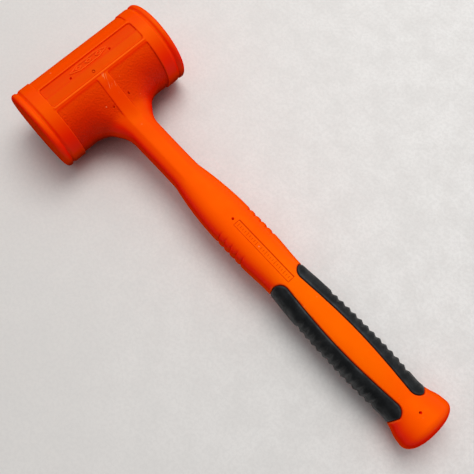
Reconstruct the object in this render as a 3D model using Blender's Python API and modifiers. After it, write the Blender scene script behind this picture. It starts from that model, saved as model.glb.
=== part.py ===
"""Dead blow mallet: a urethane mallet moulded over a steel canister of loose shot.

Mallet axes: X runs from the head's centre down the handle to the butt, Y runs along the head
from striking face to striking face, and Z is the thickness of the handle. The mallet lies on a
bench at world z = 0. Its axes are tipped about Y until the head's flanges and the butt both
touch the bench. The world origin is the bottom centre of the mallet's bounding box.
"""
import math

import bmesh
import bpy
from mathutils import Vector

# Head, a turned form along Y
HEAD_LENGTH = 0.108
FACE_RADIUS = 0.0302
FACE_EDGE = 0.0030
FLANGE_WIDTH = 0.0035
VALLEY_WIDTH = 0.0038
VALLEY_DEPTH = 0.0009
COLLAR_RADIUS = 0.0299
COLLAR_WIDTH = 0.0075
BARREL_RADIUS = 0.0295
BARREL_STEP = 0.0003
HEAD_STEPS = 48

# Shallow recessed panel on the upper and lower side of the head
PANEL_HALF_WIDTH = 0.0080
PANEL_HALF_LENGTH = 0.0386
PANEL_CORNER = 0.0020
PANEL_RADIUS = 0.0290
PANEL_CUT_HEIGHT = 0.020

# Handle sections: distance from the head's centre, half width, half thickness
HANDLE_SECTIONS = (
    (0.000, 0.0107, 0.0110),
    (0.050, 0.0107, 0.0110),
    (0.092, 0.0107, 0.0110),
    (0.100, 0.0120, 0.0112),
    (0.112, 0.0137, 0.0117),
    (0.128, 0.0151, 0.0122),
    (0.145, 0.0154, 0.0124),
    (0.165, 0.0153, 0.0124),
    (0.188, 0.0140, 0.0122),
    (0.205, 0.0152, 0.0125),
    (0.225, 0.0164, 0.0129),
    (0.250, 0.0169, 0.0131),
    (0.272, 0.0167, 0.0130),
    (0.292, 0.0154, 0.0129),
    (0.299, 0.0167, 0.0142),
    (0.305, 0.0188, 0.0162),
    (0.311, 0.0197, 0.0178),
)
BUTT_FLARE_X = 0.311
BUTT_FLARE_THICKNESS = HANDLE_SECTIONS[-1][2]
BUTT_END_X = 0.3195
BUTT_ROUNDNESS = 2.4
BUTT_RINGS = 6
BUTT_TIP_SCALE = 0.12
NECK_END_X = 0.100
NECK_SQUARENESS = 2.7
BUTT_SQUARENESS = 2.2
SECTION_POINTS = 28
NECK_START_X = 0.010
NECK_MIDDLE_X = 0.074

# Fillet that joins the neck to the barrel
FILLET_SIDE = 0.023
FILLET_FRONT = 0.018
FILLET_START_X = 0.014
FILLET_LAST_X = 0.045
FILLET_RINGS = 9
FILLET_END_X = 0.054
FILLET_LIMIT = 0.034
FILLET_OVERLAP = 0.00015

# Finger ripples on both edges of the handle
RIPPLE_FIRST_X = 0.1402
RIPPLE_PITCH = 0.0054
RIPPLE_COUNT = 5
RIPPLE_RADIUS = 0.0016
RIPPLE_DEPTH = 0.0005
RIPPLE_CUT_LENGTH = 0.012

# Rubber grip inlays in pockets on both sides
GRIP_START_X = 0.1886
GRIP_END_X = 0.2984
GRIP_STRIP_END = 0.0053
GRIP_STRIP_MIDDLE = 0.0079
GRIP_END_LENGTH = 0.0078
GRIP_SHOULDER = 0.0052
GRIP_START_INSET = 0.0012
GRIP_END_INSET = 0.0020
GRIP_DEPTH = 0.0030
GRIP_PROUD = 0.0003
GRIP_SKIN_REACH = 0.004
GRIP_LEAD_IN = 0.012
POCKET_REACH = 0.024
INLAY_REACH = 0.022
RIB_FIRST_X = 0.2145
RIB_PITCH = 0.00535
RIB_COUNT = 13
RIB_HEIGHT = 0.0008
RIB_LEAD_IN = 0.005
RIB_LEAD_OUT = 0.008

# Steel canister and its loose shot
CANISTER_RADIUS = 0.0235
CANISTER_WALL = 0.0025
CANISTER_LENGTH = 0.084
CAP_THICKNESS = 0.0025
CAP_SPIGOT = 0.0020
CAP_EDGE = 0.0008
SHOT_RADIUS = 0.0068
SHOT_LAYERS = 4
SHOTS_ROUND_CENTRE = 6

# Steel core rod in the handle
ROD_RADIUS = 0.0055
ROD_START_X = 0.0115
ROD_END_X = 0.307
ROD_FOOT_RADIUS = 0.0090
ROD_FOOT_X = 0.030
ROD_NECK_RADIUS = 0.0042
ROD_NECKS_X = (0.272, 0.284)
ROD_NECK_HALF_WIDTH = 0.003
ROD_NECK_FLOOR = 0.001
ROD_END_EDGE = 0.001
ROD_FOOT_TAPER = 0.004

# Pin holes that the mould's support pins leave: distance along X, place along Y
PIN_RADIUS = 0.0008
PINS = (
    (-0.0011, -0.0169),
    (-0.0011, 0.0161),
    (0.0278, -0.0067),
    (0.0269, 0.0073),
    (0.1387, 0.0),
    (0.303, 0.0),
)
PIN_CUT_LENGTH = 0.040
PIN_CUT_MIDDLE = 0.0205

GAP = 0.0003
SLOPE = math.asin((FACE_RADIUS - BUTT_FLARE_THICKNESS) / BUTT_FLARE_X)
HEAD_X = -(BUTT_END_X * math.cos(SLOPE) - FACE_RADIUS) / 2


# ---------------------------------------------------------------- scene and materials

def clear_scene():
    for found in list(bpy.data.objects):
        bpy.data.objects.remove(found)


def new_collection(name):
    made = bpy.data.collections.new(name)
    bpy.context.scene.collection.children.link(made)
    return made


def make_material(name, colour, roughness, metallic=0.0):
    made = bpy.data.materials.new(name)
    made.use_nodes = True
    shader = made.node_tree.nodes["Principled BSDF"]
    shader.inputs["Base Color"].default_value = (*colour, 1.0)
    shader.inputs["Roughness"].default_value = roughness
    shader.inputs["Metallic"].default_value = metallic
    return made


# ---------------------------------------------------------------- object helpers

def add_object(name, mesh, group, material=None):
    made = bpy.data.objects.new(name, mesh)
    group.objects.link(made)
    made.parent = mallet_axes
    if material:
        mesh.materials.append(material)
    if group is cutters:
        made.hide_render = True
        made.display_type = "WIRE"
    return made


def mesh_from(name, build):
    """Mesh that the function build fills through a bmesh."""
    mesh = bpy.data.meshes.new(name)
    shape = bmesh.new()
    build(shape)
    bmesh.ops.recalc_face_normals(shape, faces=shape.faces)
    shape.to_mesh(mesh)
    shape.free()
    return mesh


def shade_round(mesh):
    mesh.shade_smooth()
    mesh.set_sharp_from_angle(angle=math.radians(35))


def turned(name, profile, group, material=None, steps=32, along="Y"):
    """Solid of revolution. The profile holds (radius, height) pairs from the top to the bottom."""
    mesh = bpy.data.meshes.new(name)
    count = len(profile)
    on_axis = profile[0][0] == 0 and profile[-1][0] == 0
    edges = [(i, (i + 1) % count) for i in range(count - 1 if on_axis else count)]
    mesh.from_pydata([(radius, 0, height) for radius, height in profile], edges, [])
    made = add_object(name, mesh, group, material)
    if along == "Y":
        made.rotation_euler = (math.pi / 2, 0, 0)
    else:
        made.rotation_euler = (0, -math.pi / 2, 0)
    screw = made.modifiers.new("revolve", "SCREW")
    screw.steps = steps
    screw.render_steps = steps
    screw.use_merge_vertices = True
    screw.merge_threshold = 0.00001
    return made


def combine(target, operation, other):
    modifier = target.modifiers.new(f"{operation}_{other.name}", "BOOLEAN")
    modifier.operation = operation
    modifier.object = other
    modifier.solver = "EXACT"


def arc(centre, radius, start, end, steps):
    """Points on an arc from the start angle to the end angle, in degrees."""
    found = []
    for i in range(steps + 1):
        angle = math.radians(start + (end - start) * i / steps)
        found.append((centre[0] + radius * math.cos(angle), centre[1] + radius * math.sin(angle)))
    return found


# ---------------------------------------------------------------- handle form

def handle_size(x):
    """Half width and half thickness at x, on a smooth curve through the handle sections."""
    rows = HANDLE_SECTIONS
    i = 0
    while i < len(rows) - 2 and x > rows[i + 1][0]:
        i += 1
    span = rows[i + 1][0] - rows[i][0]
    t = min(max((x - rows[i][0]) / span, 0.0), 1.0)
    sizes = []
    for k in (1, 2):
        tangents = []
        for j in (i, i + 1):
            before = rows[max(j - 1, 0)]
            after = rows[min(j + 1, len(rows) - 1)]
            tangents.append((after[k] - before[k]) / (after[0] - before[0]) * span)
        start, end = rows[i][k], rows[i + 1][k]
        h = t * t * (3 - 2 * t)
        bend = t * (1 - t) * ((1 - t) * tangents[0] - t * tangents[1])
        sizes.append(start + (end - start) * h + bend)
    return sizes


def squareness(x):
    share = min(max((x - NECK_END_X) / (BUTT_FLARE_X - NECK_END_X), 0.0), 1.0)
    return NECK_SQUARENESS + (BUTT_SQUARENESS - NECK_SQUARENESS) * share


def section_radius(x, angle, grow=0.0):
    """Distance from the handle's centre line to its surface, in one direction across it."""
    width, thickness = handle_size(x)
    p = squareness(x)
    across = abs(math.cos(angle)) / (width + grow)
    up = abs(math.sin(angle)) / (thickness + grow)
    return (across ** p + up ** p) ** (-1 / p)


def ring(x, radius_at, points=SECTION_POINTS):
    """Closed ring of points across the handle; radius_at gives the radius for an angle."""
    found = []
    for i in range(points):
        angle = 2 * math.pi * i / points
        radius = radius_at(angle)
        found.append(Vector((x, radius * math.cos(angle), radius * math.sin(angle))))
    return found


def loft_mesh(name, rings):
    def build(shape):
        rows = [[shape.verts.new(point) for point in row] for row in rings]
        count = len(rows[0])
        for near, far in zip(rows, rows[1:]):
            for i in range(count):
                j = (i + 1) % count
                shape.faces.new((near[i], near[j], far[j], far[i]))
        shape.faces.new(rows[0])
        shape.faces.new(rows[-1])
    return mesh_from(name, build)


def fillet_gap(x, y, z):
    """Signed distance to the barrel and neck joined by a fillet that is round along X."""
    angle = math.atan2(z, y)
    front = math.sin(angle) ** 2
    radius = FILLET_SIDE + (FILLET_FRONT - FILLET_SIDE) * front
    barrel = BARREL_RADIUS + FILLET_OVERLAP
    to_barrel = x - math.sqrt(max(barrel ** 2 - z ** 2, 0)) + 4 * max(abs(z) - barrel, 0)
    to_neck = math.hypot(y, z) - section_radius(x, angle)
    reach = math.hypot(max(radius - to_barrel, 0), max(radius - to_neck, 0))
    return max(radius, min(to_barrel, to_neck)) - reach


def fillet_radius(x, angle):
    """Distance from the centre line to the filleted neck, found by halving."""
    near = section_radius(x, angle)
    far = FILLET_LIMIT
    for _ in range(30):
        middle = (near + far) / 2
        if fillet_gap(x, middle * math.cos(angle), middle * math.sin(angle)) < 0:
            near = middle
        else:
            far = middle
    return near


def handle_rings():
    rings = [ring(NECK_START_X, lambda a: section_radius(NECK_START_X, a))]
    for i in range(FILLET_RINGS):
        x = FILLET_START_X + (FILLET_LAST_X - FILLET_START_X) * i / (FILLET_RINGS - 1)
        rings.append(ring(x, lambda a, x=x: fillet_radius(x, a)))
    plain = [FILLET_END_X, NECK_MIDDLE_X] + [row[0] for row in HANDLE_SECTIONS[2:]]
    for x in plain:
        rings.append(ring(x, lambda a, x=x: section_radius(x, a)))
    for i in range(1, BUTT_RINGS + 1):
        share = math.sin(math.pi / 2 * i / BUTT_RINGS)
        scale = max((1 - share ** BUTT_ROUNDNESS) ** (1 / BUTT_ROUNDNESS), BUTT_TIP_SCALE)
        x = BUTT_FLARE_X + (BUTT_END_X - BUTT_FLARE_X) * share
        rings.append(ring(x, lambda a, s=scale: s * section_radius(BUTT_FLARE_X, a)))
    return rings


# ---------------------------------------------------------------- pieces

def head_profile():
    """Outer profile of the head from one face's centre to the other's, as radius and height."""
    top = HEAD_LENGTH / 2
    flange = top - FLANGE_WIDTH
    collar = flange - VALLEY_WIDTH
    barrel = collar - COLLAR_WIDTH
    half = [(0.0, top)] + arc((FACE_RADIUS - FACE_EDGE, top - FACE_EDGE), FACE_EDGE, 90, 0, 3)
    half.append((FACE_RADIUS, flange))
    half.append((COLLAR_RADIUS - VALLEY_DEPTH, (flange + collar) / 2))
    half.append((COLLAR_RADIUS, collar))
    half.append((COLLAR_RADIUS, barrel + BARREL_STEP))
    half.append((BARREL_RADIUS, barrel))
    return half + [(radius, -height) for radius, height in reversed(half)]


def cut_panels(target):
    """Recess with rounded corners above and below, with a floor that follows the barrel."""
    def build(shape):
        for side in (1, -1):
            made = bmesh.ops.create_cube(shape, size=1.0)["verts"]
            size = (2 * PANEL_HALF_WIDTH, 2 * PANEL_HALF_LENGTH, PANEL_CUT_HEIGHT)
            bmesh.ops.scale(shape, vec=size, verts=made)
            bmesh.ops.translate(shape, vec=(0, 0, side * PANEL_RADIUS), verts=made)
            upright = []
            for vert in made:
                for edge in vert.link_edges:
                    along = edge.verts[0].co - edge.verts[1].co
                    if abs(along.z) > PANEL_CUT_HEIGHT / 2 and edge not in upright:
                        upright.append(edge)
            bmesh.ops.bevel(shape, geom=upright, offset=PANEL_CORNER, segments=3, profile=0.5,
                            affect="EDGES")
    cutter = add_object("panel_cut", mesh_from("panel_cut", build), cutters)
    top = HEAD_LENGTH / 2
    floor = [(0.0, top), (PANEL_RADIUS, top), (PANEL_RADIUS, -top), (0.0, -top)]
    combine(cutter, "DIFFERENCE", turned("panel_floor", floor, cutters, steps=HEAD_STEPS))
    combine(target, "DIFFERENCE", cutter)


def cut_pins(target):
    """Holes from the surface to the steel, made from above and from below."""
    def build(shape):
        for x, y in PINS:
            for side in (1, -1):
                made = bmesh.ops.create_cone(shape, cap_ends=True, segments=8, radius1=PIN_RADIUS,
                                             radius2=PIN_RADIUS, depth=PIN_CUT_LENGTH)["verts"]
                bmesh.ops.translate(shape, vec=(x, y, side * PIN_CUT_MIDDLE), verts=made)
    combine(target, "DIFFERENCE", add_object("pin_cut", mesh_from("pin_cut", build), cutters))


def cut_ripples(target):
    def build(shape):
        for i in range(RIPPLE_COUNT):
            x = RIPPLE_FIRST_X + RIPPLE_PITCH * i
            reach = handle_size(x)[0] - RIPPLE_DEPTH + RIPPLE_RADIUS
            for side in (1, -1):
                made = bmesh.ops.create_cone(shape, cap_ends=True, segments=10,
                                             radius1=RIPPLE_RADIUS, radius2=RIPPLE_RADIUS,
                                             depth=RIPPLE_CUT_LENGTH)["verts"]
                bmesh.ops.translate(shape, vec=(x, side * reach, 0), verts=made)
    combine(target, "DIFFERENCE", add_object("ripple_cut", mesh_from("ripple_cut", build), cutters))


def cut_steel_room(target):
    """Room for the canister and the core rod, a gap larger all round."""
    radius = CANISTER_RADIUS + GAP
    height = CANISTER_LENGTH / 2 + GAP
    profile = [(0.0, height), (radius, height), (radius, -height), (0.0, -height)]
    combine(target, "DIFFERENCE", turned("canister_room", profile, cutters, steps=32))
    rod = rod_profile(GAP, NECK_START_X)
    combine(target, "DIFFERENCE", turned("rod_room", rod, cutters, steps=16, along="X"))


def grip_outline(side, gap):
    """Plan outline of a grip inlay, inset by the gap: strip edge, rounded ends, open outside."""
    start = GRIP_START_X + gap
    end = GRIP_END_X - gap
    strip_end = GRIP_STRIP_END + gap
    shoulder = strip_end + GRIP_SHOULDER
    points = []
    for i in range(5):
        angle = math.radians(90 * i / 4)
        points.append((start + GRIP_END_LENGTH * (1 - math.cos(angle)),
                       shoulder - GRIP_SHOULDER * math.sin(angle)))
    first, last = start + GRIP_END_LENGTH, end - GRIP_END_LENGTH
    for i in range(1, 12):
        t = i / 12
        bow = (GRIP_STRIP_MIDDLE - GRIP_STRIP_END) * math.sin(math.pi * t)
        points.append((first + (last - first) * t, strip_end + bow))
    for i in range(5):
        angle = math.radians(90 * i / 4)
        points.append((last + GRIP_END_LENGTH * math.sin(angle),
                       shoulder - GRIP_SHOULDER * math.cos(angle)))
    points += [(end - GRIP_END_INSET, POCKET_REACH), (start + GRIP_START_INSET, POCKET_REACH)]
    return [(x, side * y) for x, y in points]


def prism_mesh(name, outline, half_height):
    def build(shape):
        low = [shape.verts.new((x, y, -half_height)) for x, y in outline]
        high = [shape.verts.new((x, y, half_height)) for x, y in outline]
        shape.faces.new(low)
        shape.faces.new(high)
        for i in range(len(outline)):
            j = (i + 1) % len(outline)
            shape.faces.new((low[i], low[j], high[j], high[i]))
    return mesh_from(name, build)


def grip_bed(name, depth):
    """The handle's form under the grips, which the pockets and the inlays both stop at."""
    first, last = GRIP_START_X - GRIP_SKIN_REACH, GRIP_END_X + GRIP_SKIN_REACH
    rings = []
    for i in range(13):
        x = first + (last - first) * i / 12
        rings.append(ring(x, lambda a, x=x: section_radius(x, a, -depth), 24))
    return add_object(name, loft_mesh(name, rings), cutters)


def grip_skin():
    """Outer form of both inlays, with ribs across the side faces."""
    xs = [GRIP_START_X - GRIP_SKIN_REACH, GRIP_START_X + GRIP_SKIN_REACH,
          GRIP_START_X + GRIP_LEAD_IN, RIB_FIRST_X - RIB_LEAD_IN]
    for i in range(RIB_COUNT):
        xs += [RIB_FIRST_X + RIB_PITCH * (i - 0.5), RIB_FIRST_X + RIB_PITCH * i]
    xs += [RIB_FIRST_X + RIB_PITCH * (RIB_COUNT - 0.5), GRIP_END_X - RIB_LEAD_OUT,
           GRIP_END_X + GRIP_SKIN_REACH]

    def radius(x, angle):
        place = (x - RIB_FIRST_X) / RIB_PITCH
        ribbed = -0.6 < place < RIB_COUNT - 0.4
        rise = RIB_HEIGHT * (math.cos(2 * math.pi * place) - 1) / 2 if ribbed else 0.0
        return section_radius(x, angle, GRIP_PROUD) + rise * math.cos(angle) ** 8

    rings = [ring(x, lambda a, x=x: radius(x, a), 28) for x in xs]
    return add_object("grip_skin", loft_mesh("grip_skin", rings), cutters)


def make_grips(target):
    """Both inlays, and the pockets they sit in."""
    skin = grip_skin()
    pocket_bed = grip_bed("pocket_bed", GRIP_DEPTH)
    inlay_bed = grip_bed("inlay_bed", GRIP_DEPTH - GAP)
    for name, side in (("grip_left", -1), ("grip_right", 1)):
        pocket_name = name + "_pocket"
        mesh = prism_mesh(pocket_name, grip_outline(side, 0.0), POCKET_REACH)
        pocket = add_object(pocket_name, mesh, cutters)
        combine(pocket, "DIFFERENCE", pocket_bed)
        combine(target, "DIFFERENCE", pocket)
        mesh = prism_mesh(name, grip_outline(side, GAP), INLAY_REACH)
        inlay = add_object(name, mesh, parts, rubber)
        combine(inlay, "INTERSECT", skin)
        combine(inlay, "DIFFERENCE", inlay_bed)
        shade_round(mesh)


def make_overmould():
    made = turned("overmould", head_profile(), parts, urethane, steps=HEAD_STEPS)
    handle = add_object("handle_form", loft_mesh("handle_form", handle_rings()), cutters)
    combine(made, "UNION", handle)
    cut_panels(made)
    cut_ripples(made)
    cut_steel_room(made)
    cut_pins(made)
    shade_round(made.data)
    return made


def make_canister():
    inner = CANISTER_RADIUS - CANISTER_WALL
    half = CANISTER_LENGTH / 2
    tube = half - CAP_THICKNESS - GAP
    profile = [(inner, tube), (CANISTER_RADIUS, tube), (CANISTER_RADIUS, -tube), (inner, -tube)]
    shade_round(turned("canister_tube", profile, parts, steel, steps=32).data)
    spigot = inner - GAP
    step = half - CAP_THICKNESS
    cap = [(0.0, half), (CANISTER_RADIUS - CAP_EDGE, half), (CANISTER_RADIUS, half - CAP_EDGE),
           (CANISTER_RADIUS, step), (spigot, step), (spigot, step - CAP_SPIGOT),
           (0.0, step - CAP_SPIGOT)]
    left = turned("canister_cap_left", cap, parts, steel, steps=32)
    shade_round(left.data)
    right = turned("canister_cap_right", cap, parts, steel, steps=32)
    right.rotation_euler = (-math.pi / 2, 0, 0)
    shade_round(right.data)


def rod_profile(grow, start):
    """The rod's profile along X, from the butt end to the foot, as radius and distance."""
    radius = ROD_RADIUS + grow
    foot = ROD_FOOT_RADIUS + grow
    neck = ROD_NECK_RADIUS + grow
    end = ROD_END_X + grow
    profile = [(0.0, end), (radius - ROD_END_EDGE, end), (radius, end - ROD_END_EDGE)]
    for x in reversed(ROD_NECKS_X):
        profile += [(radius, x + ROD_NECK_HALF_WIDTH), (neck, x + ROD_NECK_FLOOR),
                    (neck, x - ROD_NECK_FLOOR), (radius, x - ROD_NECK_HALF_WIDTH)]
    profile += [(radius, ROD_FOOT_X + ROD_FOOT_TAPER), (foot, ROD_FOOT_X + grow), (foot, start)]
    profile.append((0.0, start))
    return [(r, -x) for r, x in reversed(profile)]


def make_core_rod():
    """Rod with a foot shaped to sit on the canister's curved wall."""
    made = turned("core_rod", rod_profile(0.0, ROD_START_X), parts, steel, steps=16, along="X")
    radius = CANISTER_RADIUS + GAP
    height = CANISTER_LENGTH / 2
    profile = [(0.0, height), (radius, height), (radius, -height), (0.0, -height)]
    combine(made, "DIFFERENCE", turned("saddle_cut", profile, cutters, steps=48))
    shade_round(made.data)


def make_shot():
    """Layers of seven balls that fill the canister's bore and slide along it together."""
    charge = bpy.data.objects.new("shot_charge_axis", None)
    parts.objects.link(charge)
    charge.parent = mallet_axes
    pitch = 2 * SHOT_RADIUS + GAP
    mesh = mesh_from("shot", lambda shape: bmesh.ops.create_icosphere(
        shape, subdivisions=2, radius=SHOT_RADIUS))
    mesh.materials.append(steel)
    mesh.shade_smooth()
    number = 0
    for layer in range(SHOT_LAYERS):
        y = (layer - (SHOT_LAYERS - 1) / 2) * pitch
        for place in range(SHOTS_ROUND_CENTRE + 1):
            number += 1
            angle = math.radians(60 * place)
            out = 0.0 if place == SHOTS_ROUND_CENTRE else pitch
            ball = bpy.data.objects.new(f"shot_{number:02d}", mesh)
            parts.objects.link(ball)
            ball.parent = charge
            ball.location = (out * math.cos(angle), y, out * math.sin(angle))


clear_scene()
parts = new_collection("dead_blow_mallet")
cutters = new_collection("cutters")
cutters.hide_render = True
mallet_axes = bpy.data.objects.new("mallet_axes", None)
parts.objects.link(mallet_axes)
mallet_axes.location = (HEAD_X, 0, FACE_RADIUS)
mallet_axes.rotation_euler = (0, SLOPE, 0)

urethane = make_material("orange_urethane", (1.0, 0.13, 0.01), 0.42)
rubber = make_material("charcoal_rubber", (0.02, 0.022, 0.025), 0.6)
steel = make_material("bare_steel", (0.55, 0.56, 0.58), 0.35, 1.0)

body = make_overmould()
make_grips(body)
make_canister()
make_core_rod()
make_shot()
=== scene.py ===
import math

import bmesh
import bpy
import numpy as np
from mathutils import Matrix, Vector, noise


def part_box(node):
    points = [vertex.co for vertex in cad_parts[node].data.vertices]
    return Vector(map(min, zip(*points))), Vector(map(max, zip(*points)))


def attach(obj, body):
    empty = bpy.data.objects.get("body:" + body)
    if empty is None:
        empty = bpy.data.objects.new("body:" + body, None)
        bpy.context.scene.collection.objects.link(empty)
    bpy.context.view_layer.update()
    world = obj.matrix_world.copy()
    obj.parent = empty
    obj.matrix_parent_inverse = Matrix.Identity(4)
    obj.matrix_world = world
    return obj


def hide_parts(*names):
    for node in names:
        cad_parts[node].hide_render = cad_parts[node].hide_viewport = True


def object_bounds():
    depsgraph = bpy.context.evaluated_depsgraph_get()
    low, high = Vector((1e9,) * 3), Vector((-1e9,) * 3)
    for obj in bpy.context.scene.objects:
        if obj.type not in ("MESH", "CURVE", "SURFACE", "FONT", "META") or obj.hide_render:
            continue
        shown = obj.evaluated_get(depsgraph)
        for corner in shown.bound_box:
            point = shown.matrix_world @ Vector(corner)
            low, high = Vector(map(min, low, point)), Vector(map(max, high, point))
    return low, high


# Looks of the dead blow mallet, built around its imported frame.
#
# Mallet axes: X runs from the head's centre down the handle to the butt, Y along the head from
# face to face, and Z is the thickness of the handle. Sizes are metres. A form is a function that
# gives a signed distance, negative inside, and surface_mesh turns it into a closed mesh.

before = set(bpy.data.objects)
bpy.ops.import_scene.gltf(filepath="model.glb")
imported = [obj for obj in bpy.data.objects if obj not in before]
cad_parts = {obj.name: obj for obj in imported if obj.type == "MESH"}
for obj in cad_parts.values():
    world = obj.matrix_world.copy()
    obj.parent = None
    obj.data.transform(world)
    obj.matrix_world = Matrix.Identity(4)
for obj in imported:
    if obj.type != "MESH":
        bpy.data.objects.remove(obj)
cad_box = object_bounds()
body_low, body_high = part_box("overmould")

# Head, a turned form along Y
HALF_HEAD = (body_high.y - body_low.y) / 2
FACE_RADIUS = (body_high.z - body_low.z) / 2
FACE_EDGE = 0.0030
VALLEY_INSET = 0.0054
VALLEY_CENTRE = HALF_HEAD - VALLEY_INSET
VALLEY_HALF_WIDTH = 0.0019
VALLEY_DEPTH = 0.0009
COLLAR_RADIUS = 0.0299
BARREL_RADIUS = 0.0295
STEP_WIDTH = 0.0005
STRUCK_DEPTH = 0.0012

# Sunken panel with its border ridges, and the recesses beside the rib, above and below
PANEL_HALF_WIDTH = 0.0080
PANEL_HALF_LENGTH = 0.0386
PANEL_DEPTH = 0.0009
RIDGE_EDGE_X = 0.0100
RIDGE_HEIGHT = 0.0004
RIDGE_END_FADE = 0.001
PANEL_FROM_Z = 0.02
RECESS_DEPTH = 0.0011
RECESS_CORNER = 0.0020
RECESS_SIDE_FADE = 0.0022
BACK_RECESS_SIDE_FADE = 0.0030
BACK_RECESS_SHARE = 0.6
RECESS_FADE_START = 0.0310
RECESS_FADE_END = 0.0390
RIB_HALF_WIDTH = 0.0043
RIB_SPREAD = 0.02

# Handle sections: distance from the head's centre, half width, half thickness
HANDLE_SECTIONS = (
    (0.000, 0.0107, 0.0110),
    (0.050, 0.0107, 0.0110),
    (0.092, 0.0107, 0.0110),
    (0.100, 0.0120, 0.0112),
    (0.112, 0.0137, 0.0117),
    (0.128, 0.0151, 0.0122),
    (0.145, 0.0154, 0.0124),
    (0.165, 0.0153, 0.0124),
    (0.188, 0.0140, 0.0122),
    (0.205, 0.0152, 0.0125),
    (0.225, 0.0164, 0.0129),
    (0.250, 0.0169, 0.0131),
    (0.272, 0.0167, 0.0130),
    (0.292, 0.0154, 0.0129),
    (0.299, 0.0167, 0.0142),
    (0.305, 0.0188, 0.0162),
    (0.311, 0.0197, 0.0178),
)
FLARE_X = 0.311
FLARE_THICKNESS = HANDLE_SECTIONS[-1][2]
BUTT_END_X = 0.3195
BUTT_ROUNDNESS = 2.4
NECK_END_X = 0.100
NECK_SQUARENESS = 2.7
BUTT_SQUARENESS = 2.2
HANDLE_CORE = 0.006

# Flat land along the neck and the bevels beside it
LAND_HALF_WIDTH = 0.0043
LAND_HEIGHT = 0.0107
BEVEL_SLOPE = math.radians(26)
LAND_FADE_START = 0.090
LAND_FADE_END = 0.112
LAND_FADE_RISE = 0.004
LAND_CLEAR_START = 0.20
LAND_CLEAR_END = 0.28
LAND_CLEAR_RISE = 0.03
LAND_CREASE = 0.0003
LAND_EDGE = 0.0008

# Fillet that joins the neck to the barrel
FILLET_SIDE = 0.023
FILLET_FRONT = 0.018
FILLET_HALF_LENGTH = 0.045
BEYOND_BARREL_SLOPE = 4
BEHIND_AXIS_GAP = 0.01

# Finger ripples on both edges of the handle
RIPPLE_FIRST_X = 0.1402
RIPPLE_PITCH = 0.0054
RIPPLE_COUNT = 5
RIPPLE_HALF_WIDTH = 0.0017
RIPPLE_DEPTH = 0.0010
RIPPLE_FADE = 0.0030

# Rubber grip inlays and their pockets
GRIP_START_X = 0.1886
GRIP_END_X = 0.2984
GRIP_STRIP_END = 0.0053
GRIP_STRIP_MIDDLE = 0.0079
GRIP_CORNER = 0.0070
GRIP_SLANT_FROM = 0.0105
GRIP_START_SLANT = 0.25
GRIP_END_SLANT = 0.40
GRIP_DEPTH = 0.0030
GRIP_PROUD = 0.0003
GRIP_RIM = 0.0016
POCKET_RIM = 0.0006
RIB_FIRST_X = 0.2145
RIB_PITCH = 0.00535
RIB_COUNT = 13
RIB_DEPTH = 0.0016
RIB_FADE = 0.0046
GAP = 0.0003

# Holes of the mould's support pins: place along X, place along Y, radius
PIN_RADIUS = 0.0008
NECK_PIN_RADIUS = 0.0005
PINS = ((-0.0011, -0.0169, PIN_RADIUS), (-0.0011, 0.0161, PIN_RADIUS),
        (0.0278, -0.0067, NECK_PIN_RADIUS), (0.0269, 0.0073, NECK_PIN_RADIUS),
        (0.1387, 0.0, PIN_RADIUS), (0.303, 0.0, PIN_RADIUS))
PIN_SIDES = 20
PIN_FLOOR = 0.004
PIN_LIP_DEPTH = 0.0003
PIN_LIP_WIDTH = 0.0002
PIN_CLEARANCE = 0.002
PIN_CLEARANCE_WIDTH = 0.001

# Scuffed place on the rib beside the upper panel
SCUFF_X = 0.0165
SCUFF_Y = 0.0012
SCUFF_LENGTH = 0.0085
SCUFF_WIDTH = 0.0035
SCUFF_FROM_Z = 0.015

# Room inside for the canister and the core rod
CANISTER_RADIUS = 0.0235
CANISTER_HALF = 0.042
ROD_RADIUS = 0.0055
ROD_START_X = 0.0115
ROD_END_X = 0.307
ROD_NECK_RADIUS = 0.0042
ROD_NECKS_X = (0.272, 0.284)
ROD_RING_FIRST_X = 0.050
ROD_RING_PITCH = 0.007
ROD_RING_COUNT = 30
ROD_SIDES = 48
CANISTER_SIDES = 96

# Steel details: rings drawn into the rod, and the tube with its rolled rings and caps
ROD_RING_HALF_WIDTH = 0.0004
ROD_RING_DEPTH = 0.00015
ROD_NECK_HALF_WIDTH = 0.003
ROD_NECK_FLOOR = 0.001
ROD_END_EDGE = 0.001
ROD_FOOT_EDGE = 0.0005
TUBE_BORE = 0.021
TUBE_HALF = 0.0392
TUBE_EDGE = 0.0004
ROLLED_RING_Y = 0.0290
ROLLED_RING_HALF_WIDTH = 0.0012
ROLLED_RING_FLOOR = 0.0006
ROLLED_RING_DEPTH = 0.0002
SPIGOT_DEPTH = 0.0020
SPIGOT_EDGE = 0.0004
CAP_LOW_EDGE = 0.0002
CAP_HIGH_EDGE = 0.0008
CAP_EDGE_MIDDLE = (0.0003, 0.0002)
PRESSED_RING_INNER = 0.0100
PRESSED_RING_OUTER = 0.0155
PRESSED_RING_SLOPE = 0.0005
PRESSED_RING_DEPTH = 0.0004
CAP_DIMPLE = ((0.0, 0.0022), (0.0005, 0.0012), (0.0007, 0.0))
SHOT_UNDERSIZE = 0.00005
SHOT_DENT = 0.00004
ROD_FOOT_RADIUS = 0.0090
ROD_FOOT_X = 0.030
ROD_FOOT_TAPER = 0.004
ROD_ROOM_START_X = 0.010

# Label frame sunk into the handle, with plain marks inside
LABEL_START_X = 0.1422
LABEL_END_X = 0.1931
LABEL_HALF_WIDTH = 0.0025
LABEL_STROKES = 23
LABEL_SPACING = 0.0015
SHORT_STROKE = 0.0008
LONG_STROKE = 0.0014
LONG_STROKE_EVERY = 4

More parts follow.
